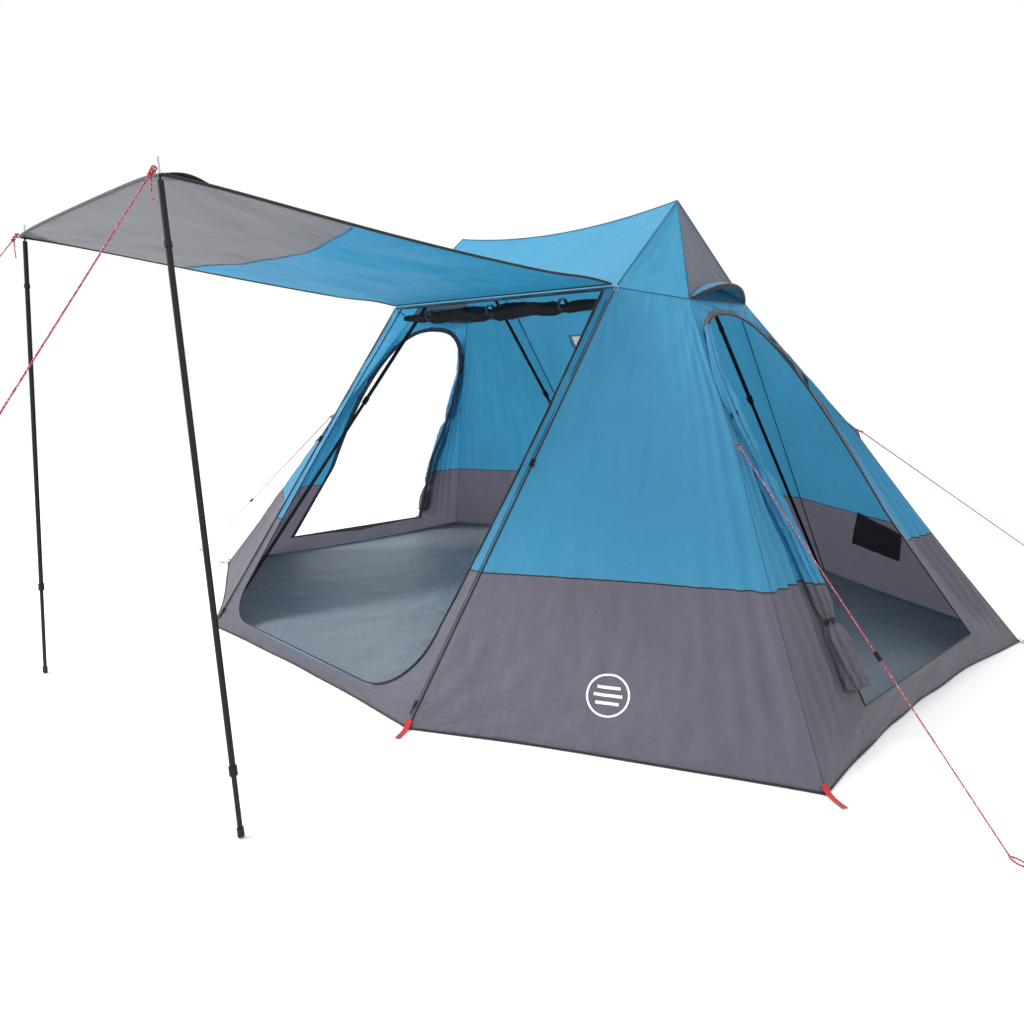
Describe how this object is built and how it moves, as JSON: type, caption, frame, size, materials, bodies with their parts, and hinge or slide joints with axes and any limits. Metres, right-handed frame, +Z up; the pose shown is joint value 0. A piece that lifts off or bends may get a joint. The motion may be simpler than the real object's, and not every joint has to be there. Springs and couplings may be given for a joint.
{
  "type": "pop-up tent",
  "caption": "Family pop-up tent: faceted fabric shell on two folding A-frames, with an awning on poles, end doors and guy-lines.",
  "frame": {"origin": "centre of the tent's footprint on the ground, on the groundsheet's underside", "axes": "+Z up; +X along the ridge to the right end seen from the front; the front door and awning face -Y"},
  "size_m": [5.7735, 5.0541, 2.245],
  "materials": {
    "blue_polyester": "coated plain weave, satin",
    "grey_polyester": "coated plain weave, satin",
    "black_mesh": "fine mesh, matt",
    "light_mesh": "fine mesh, matt",
    "black_webbing": "woven tape, matt",
    "red_webbing": "woven tape, matt",
    "red_cord": "braided cord with pale flecks",
    "black_steel": "powder-coated, semi-gloss",
    "bare_steel": "satin",
    "black_plastic": "moulded, matt"
  },
  "bodies": {
    "shell": {"groundsheet": "grey_polyester", "front_wall": "grey_polyester", "back_wall": "blue_polyester", "corner_wall_front_right": "blue_polyester", "corner_wall_back_right": "blue_polyester", "corner_wall_back_left": "blue_polyester", "corner_wall_front_left": "blue_polyester", "end_wall_right": "blue_polyester", "end_wall_left": "blue_polyester", "roof_front": "blue_polyester", "roof_back": "blue_polyester", "hip_panels": "blue_polyester", "gable_right": "grey_polyester", "gable_left": "grey_polyester", "vent_hood_right": "blue_polyester", "vent_hood_left": "blue_polyester", "rolled_door_right": "grey_polyester", "rolled_door_left": "grey_polyester", "rolled_mesh_door": "black_mesh", "roll_toggles": "black_webbing", "window_mesh": "light_mesh", "mesh_pocket": "black_mesh", "hub_right": "black_plastic", "hub_left": "black_plastic", "hub_pins": "bare_steel", "peg_tabs": "red_webbing", "tab_eyelets": "bare_steel", "guy_patches": "grey_polyester", "eave_rings": "bare_steel", "guy_front_right": "red_cord", "guy_back_right": "red_cord", "guy_back_left": "red_cord", "guy_front_left": "red_cord", "guy_awning_right": "red_cord", "guy_awning_left": "red_cord"},
    "upper_leg_front_right": {"leg_upper_front_right": "black_steel", "leg_lock_front_right": "black_plastic"},
    "lower_leg_front_right": {"leg_lower_front_right": "black_steel"},
    "upper_leg_back_right": {"leg_upper_back_right": "black_steel", "leg_lock_back_right": "black_plastic"},
    "lower_leg_back_right": {"leg_lower_back_right": "black_steel"},
    "upper_leg_back_left": {"leg_upper_back_left": "black_steel", "leg_lock_back_left": "black_plastic"},
    "lower_leg_back_left": {"leg_lower_back_left": "black_steel"},
    "upper_leg_front_left": {"leg_upper_front_left": "black_steel", "leg_lock_front_left": "black_plastic"},
    "lower_leg_front_left": {"leg_lower_front_left": "black_steel"},
    "awning": {"awning": "blue_polyester"},
    "pole_foot_right": {"pole_foot_right": "black_steel"},
    "pole_right": {"pole_right": "black_steel", "pole_lock_right": "black_plastic"},
    "pole_foot_left": {"pole_foot_left": "black_steel"},
    "pole_left": {"pole_left": "black_steel", "pole_lock_left": "black_plastic"},
    "runner_front_right": {"runner_front_right": "black_plastic"},
    "runner_back_right": {"runner_back_right": "black_plastic"},
    "runner_back_left": {"runner_back_left": "black_plastic"},
    "runner_front_left": {"runner_front_left": "black_plastic"},
    "zip_slider_right": {"zip_slider_right": "black_plastic"},
    "zip_slider_left": {"zip_slider_left": "black_plastic"}
  },
  "joints": [
    {"name": "leg_swing_front_right", "type": "hinge", "parent": "shell", "child": "upper_leg_front_right", "pos_m": [0.812, -0.04, 2.16], "axis": [1, 0, 0], "range_deg": [0, 25]},
    {"name": "leg_slide_front_right", "type": "slide", "parent": "upper_leg_front_right", "child": "lower_leg_front_right", "axis": [-0.0294, 0.6252, 0.7799], "range_m": [0, 1]},
    {"name": "leg_swing_back_right", "type": "hinge", "parent": "shell", "child": "upper_leg_back_right", "pos_m": [0.812, 0.04, 2.16], "axis": [-1, 0, 0], "range_deg": [0, 25]},
    {"name": "leg_slide_back_right", "type": "slide", "parent": "upper_leg_back_right", "child": "lower_leg_back_right", "axis": [-0.0294, -0.6252, 0.7799], "range_m": [0, 1]},
    {"name": "leg_swing_back_left", "type": "hinge", "parent": "shell", "child": "upper_leg_back_left", "pos_m": [-0.812, 0.04, 2.16], "axis": [-1, 0, 0], "range_deg": [0, 25]},
    {"name": "leg_slide_back_left", "type": "slide", "parent": "upper_leg_back_left", "child": "lower_leg_back_left", "axis": [0.0294, -0.6252, 0.7799], "range_m": [0, 1]},
    {"name": "leg_swing_front_left", "type": "hinge", "parent": "shell", "child": "upper_leg_front_left", "pos_m": [-0.812, -0.04, 2.16], "axis": [1, 0, 0], "range_deg": [0, 25]},
    {"name": "leg_slide_front_left", "type": "slide", "parent": "upper_leg_front_left", "child": "lower_leg_front_left", "axis": [0.0294, 0.6252, 0.7799], "range_m": [0, 1]},
    {"name": "awning_flap", "type": "hinge", "parent": "shell", "child": "awning", "pos_m": [0, -0.534, 1.793], "axis": [-1, 0, 0], "range_deg": [-50, 0]},
    {"name": "pole_tilt_right", "type": "hinge", "parent": "shell", "child": "pole_foot_right", "pos_m": [1.16, -2.62, 0.003], "axis": [-1, 0, 0], "range_deg": [-88, 0]},
    {"name": "pole_slide_right", "type": "slide", "parent": "pole_foot_right", "child": "pole_right", "axis": [0.1839, -0.0249, -0.9826], "range_m": [0, 0.15]},
    {"name": "pole_tilt_left", "type": "hinge", "parent": "shell", "child": "pole_foot_left", "pos_m": [-0.78, -2.68, 0.003], "axis": [-1, 0, 0], "range_deg": [-88, 0]},
    {"name": "pole_slide_left", "type": "slide", "parent": "pole_foot_left", "child": "pole_left", "axis": [0.0045, -0.0556, -0.9984], "range_m": [0, 0.15]},
    {"name": "runner_slide_front_right", "type": "slide", "parent": "shell", "child": "runner_front_right", "axis": [0.7181, -0.2747, -0.6394], "range_m": [-0.3, 0.3]},
    {"name": "runner_slide_back_right", "type": "slide", "parent": "shell", "child": "runner_back_right", "axis": [0.714, 0.4002, -0.5745], "range_m": [-0.3, 0.3]},
    {"name": "runner_slide_back_left", "type": "slide", "parent": "shell", "child": "runner_back_left", "axis": [-0.7181, 0.2747, -0.6394], "range_m": [-0.3, 0.3]},
    {"name": "runner_slide_front_left", "type": "slide", "parent": "shell", "child": "runner_front_left", "axis": [-0.7181, -0.2747, -0.6394], "range_m": [-0.3, 0.3]},
    {"name": "zip_right", "type": "slide", "parent": "shell", "child": "zip_slider_right", "axis": [-0.0114, 0.5827, 0.8126], "range_m": [0, 1.9]},
    {"name": "zip_left", "type": "slide", "parent": "shell", "child": "zip_slider_left", "axis": [0.0114, 0.5827, 0.8126], "range_m": [0, 1.9]}
  ],
  "couplings": [
    {"joint": "leg_swing_back_right", "follows": "leg_swing_front_right", "ratio": 1},
    {"joint": "leg_slide_front_right", "follows": "leg_swing_front_right", "m_per_rad": 2.2918},
    {"joint": "leg_slide_back_right", "follows": "leg_swing_front_right", "m_per_rad": 2.2918},
    {"joint": "leg_swing_back_left", "follows": "leg_swing_front_left", "ratio": 1},
    {"joint": "leg_slide_front_left", "follows": "leg_swing_front_left", "m_per_rad": 2.2918},
    {"joint": "leg_slide_back_left", "follows": "leg_swing_front_left", "m_per_rad": 2.2918}
  ]
}
